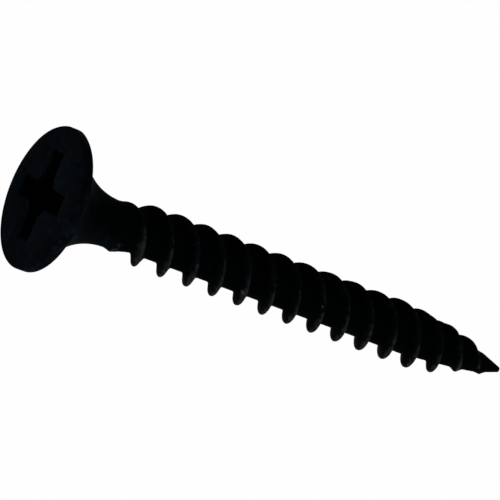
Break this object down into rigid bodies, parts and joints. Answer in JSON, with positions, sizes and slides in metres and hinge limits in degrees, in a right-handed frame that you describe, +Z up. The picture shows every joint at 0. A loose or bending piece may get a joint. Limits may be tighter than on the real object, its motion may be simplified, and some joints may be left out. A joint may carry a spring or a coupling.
{
  "type": "drywall screw",
  "caption": "Bugle-head drywall screw with a cross recess, a right-hand twin-start thread and a sharp point, black phosphate finish, lying at rest.",
  "frame": {"origin": "on the table, under the middle of the screw as it lies", "axes": "+X towards the point, +Z up from the table, +Y to the left seen from behind the head; the screw's own axis runs along +X and leans 4.9 degrees down towards the point"},
  "size_m": [0.032, 0.0078, 0.0078],
  "materials": {
    "black_phosphate_steel": "matte"
  },
  "bodies": {
    "root": {"screw": "black_phosphate_steel"}
  },
  "joints": []
}
